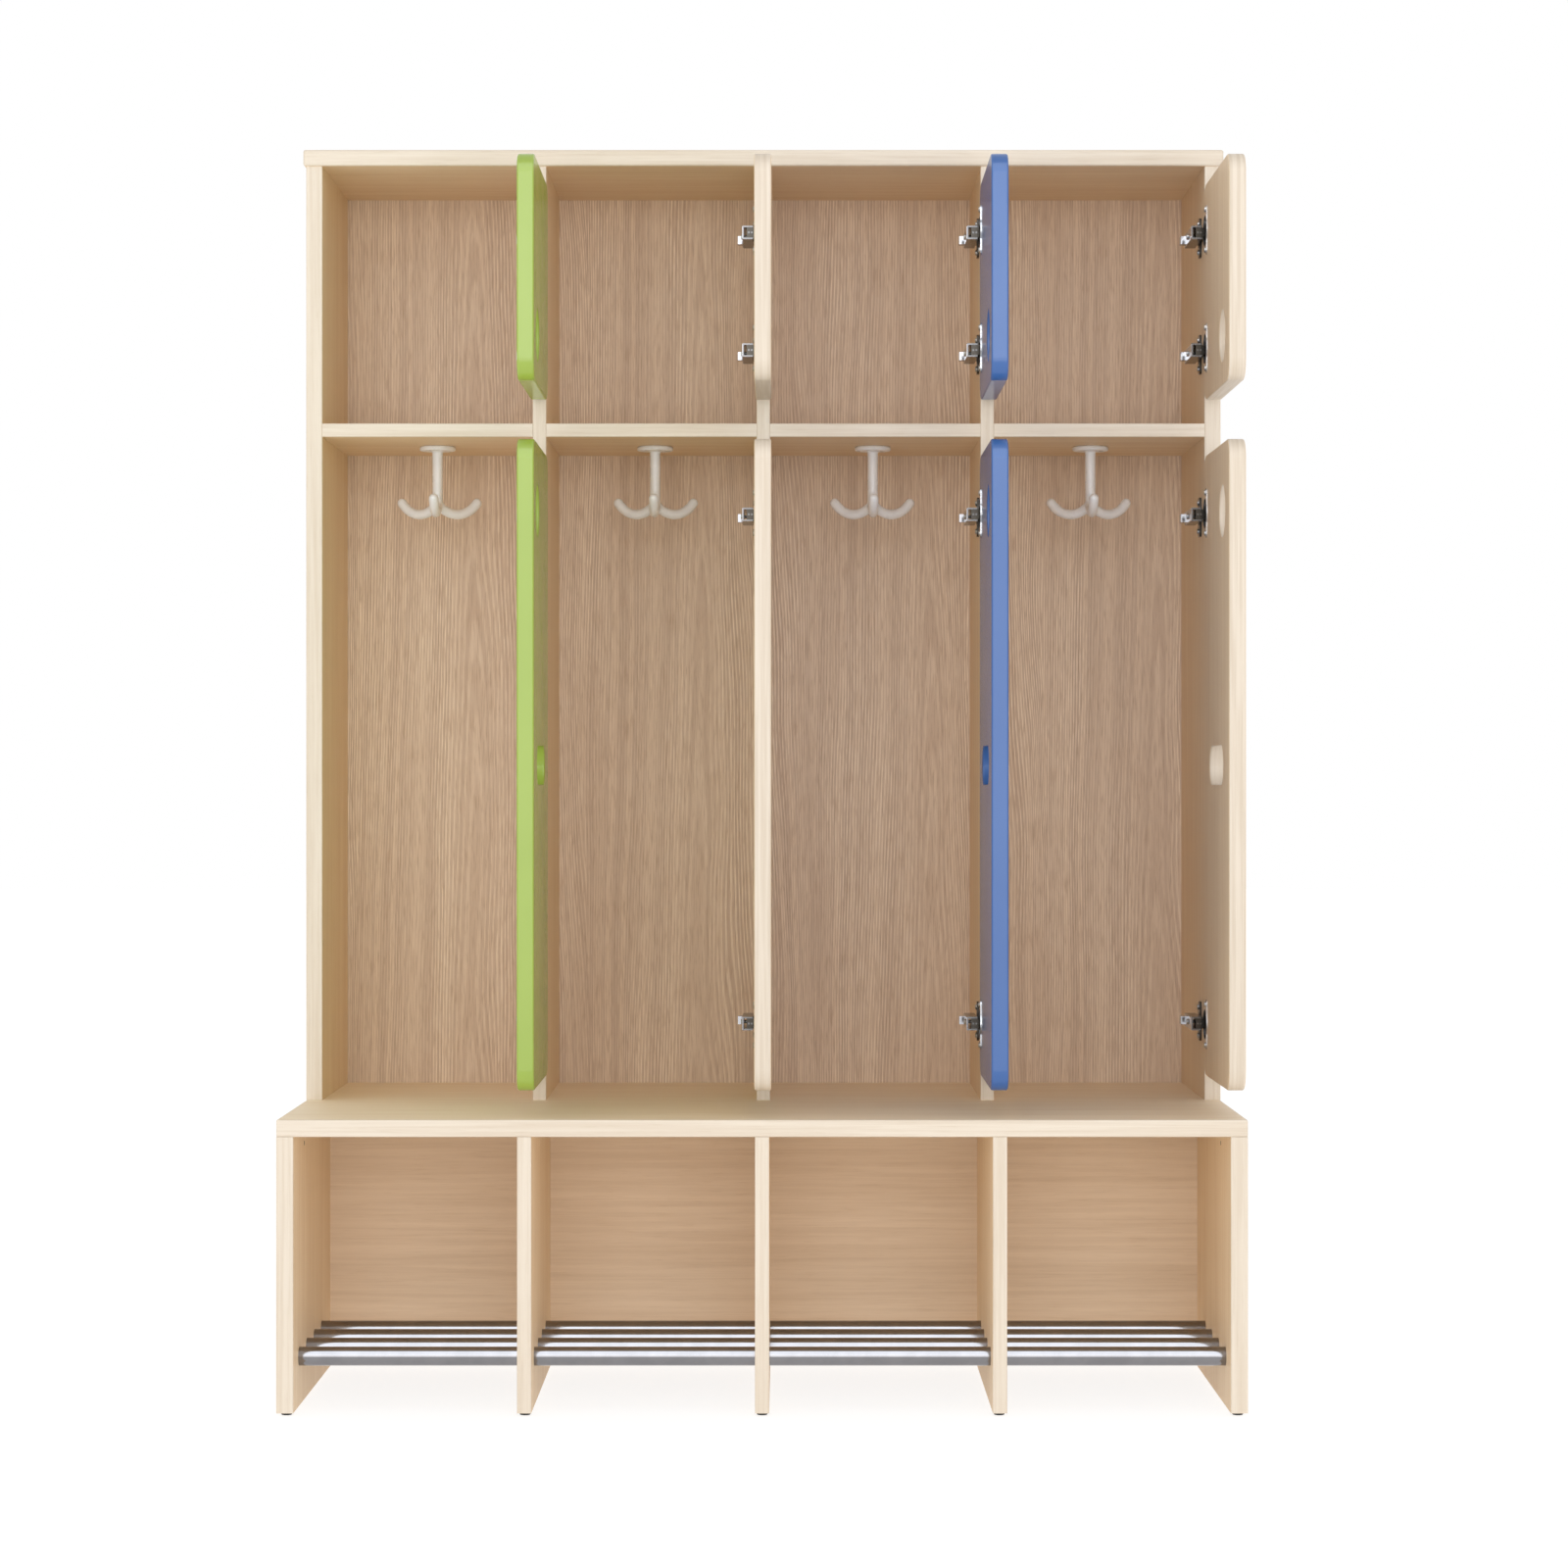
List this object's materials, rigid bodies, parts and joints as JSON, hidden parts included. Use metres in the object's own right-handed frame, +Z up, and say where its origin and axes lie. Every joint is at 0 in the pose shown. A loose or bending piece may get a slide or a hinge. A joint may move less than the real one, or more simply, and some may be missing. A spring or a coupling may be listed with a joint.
{
  "type": "cloakroom bench",
  "caption": "Children's cloakroom bench: a seat over shoe bays with steel rails, carrying lockers with coloured swinging doors, finger holes and coat hooks.",
  "frame": {"origin": "on the floor, under the middle of the whole piece", "axes": "+X to the right seen from the front, -Y out of the front, +Z up"},
  "size_m": [1.026, 0.51, 1.3715],
  "materials": {
    "maple_laminate": "pale maple laminate",
    "back_laminate": "fine upright grain",
    "bench_back_laminate": "level grain",
    "door_green": "satin green",
    "door_cream": "pale maple laminate",
    "door_blue": "satin blue",
    "polished_tube": "polished",
    "hinge_nickel": "nickel plate",
    "screw_steel": "zinc plate",
    "connector_steel": "dull",
    "hook_plastic": "off-white",
    "glide_plastic": "black",
    "dowel_beech": "raw"
  },
  "bodies": {
    "cabinet": {"left_side_panel": "maple_laminate", "right_side_panel": "maple_laminate", "top_panel": "maple_laminate", "divider_1": "maple_laminate", "divider_2": "maple_laminate", "divider_3": "maple_laminate", "shelf_1": "maple_laminate", "shelf_2": "maple_laminate", "shelf_3": "maple_laminate", "shelf_4": "maple_laminate", "seat_board": "maple_laminate", "bench_side_left": "maple_laminate", "bench_side_right": "maple_laminate", "bench_divider_1": "maple_laminate", "bench_divider_2": "maple_laminate", "bench_divider_3": "maple_laminate", "back_panel": "back_laminate", "bench_back_boards": "bench_back_laminate", "shoe_rail_1": "polished_tube", "shoe_rail_2": "polished_tube", "shoe_rail_3": "polished_tube", "shoe_rail_4": "polished_tube", "coat_hook_1": "hook_plastic", "coat_hook_2": "hook_plastic", "coat_hook_3": "hook_plastic", "coat_hook_4": "hook_plastic", "coat_hook_studs": "screw_steel", "glide_feet": "glide_plastic", "seat_connectors": "connector_steel", "back_panel_screws": "screw_steel", "hinge_arms": "hinge_nickel", "hinge_mounting_plates": "hinge_nickel", "hinge_pins": "hinge_nickel", "hinge_arm_screws": "screw_steel", "hinge_plate_screws": "screw_steel", "joint_dowels": "dowel_beech"},
    "upper_door_1": {"upper_door_1_panel": "door_green", "upper_door_1_hinge_cups": "hinge_nickel", "upper_door_1_cup_screws": "screw_steel"},
    "upper_door_2": {"upper_door_2_panel": "door_cream", "upper_door_2_hinge_cups": "hinge_nickel", "upper_door_2_cup_screws": "screw_steel"},
    "upper_door_3": {"upper_door_3_panel": "door_blue", "upper_door_3_hinge_cups": "hinge_nickel", "upper_door_3_cup_screws": "screw_steel"},
    "upper_door_4": {"upper_door_4_panel": "door_cream", "upper_door_4_hinge_cups": "hinge_nickel", "upper_door_4_cup_screws": "screw_steel"},
    "lower_door_1": {"lower_door_1_panel": "door_green", "lower_door_1_hinge_cups": "hinge_nickel", "lower_door_1_cup_screws": "screw_steel"},
    "lower_door_2": {"lower_door_2_panel": "door_cream", "lower_door_2_hinge_cups": "hinge_nickel", "lower_door_2_cup_screws": "screw_steel"},
    "lower_door_3": {"lower_door_3_panel": "door_blue", "lower_door_3_hinge_cups": "hinge_nickel", "lower_door_3_cup_screws": "screw_steel"},
    "lower_door_4": {"lower_door_4_panel": "door_cream", "lower_door_4_hinge_cups": "hinge_nickel", "lower_door_4_cup_screws": "screw_steel"}
  },
  "joints": [
    {"name": "upper_door_1_hinge", "type": "hinge", "parent": "cabinet", "child": "upper_door_1", "pos_m": [-0.25125, -0.0098, 1.2107], "axis": [0, 0, 1], "range_deg": [-90, 5]},
    {"name": "upper_door_2_hinge", "type": "hinge", "parent": "cabinet", "child": "upper_door_2", "pos_m": [-0.0015, -0.0098, 1.2107], "axis": [0, 0, 1], "range_deg": [-90, 5]},
    {"name": "upper_door_3_hinge", "type": "hinge", "parent": "cabinet", "child": "upper_door_3", "pos_m": [0.24825, -0.0098, 1.2107], "axis": [0, 0, 1], "range_deg": [-90, 5]},
    {"name": "upper_door_4_hinge", "type": "hinge", "parent": "cabinet", "child": "upper_door_4", "pos_m": [0.498, -0.0098, 1.2107], "axis": [0, 0, 1], "range_deg": [-90, 5]},
    {"name": "lower_door_1_hinge", "type": "hinge", "parent": "cabinet", "child": "lower_door_1", "pos_m": [-0.25125, -0.0098, 0.6849], "axis": [0, 0, 1], "range_deg": [-90, 5]},
    {"name": "lower_door_2_hinge", "type": "hinge", "parent": "cabinet", "child": "lower_door_2", "pos_m": [-0.0015, -0.0098, 0.6849], "axis": [0, 0, 1], "range_deg": [-90, 5]},
    {"name": "lower_door_3_hinge", "type": "hinge", "parent": "cabinet", "child": "lower_door_3", "pos_m": [0.24825, -0.0098, 0.6849], "axis": [0, 0, 1], "range_deg": [-90, 5]},
    {"name": "lower_door_4_hinge", "type": "hinge", "parent": "cabinet", "child": "lower_door_4", "pos_m": [0.498, -0.0098, 0.6849], "axis": [0, 0, 1], "range_deg": [-90, 5]}
  ]
}
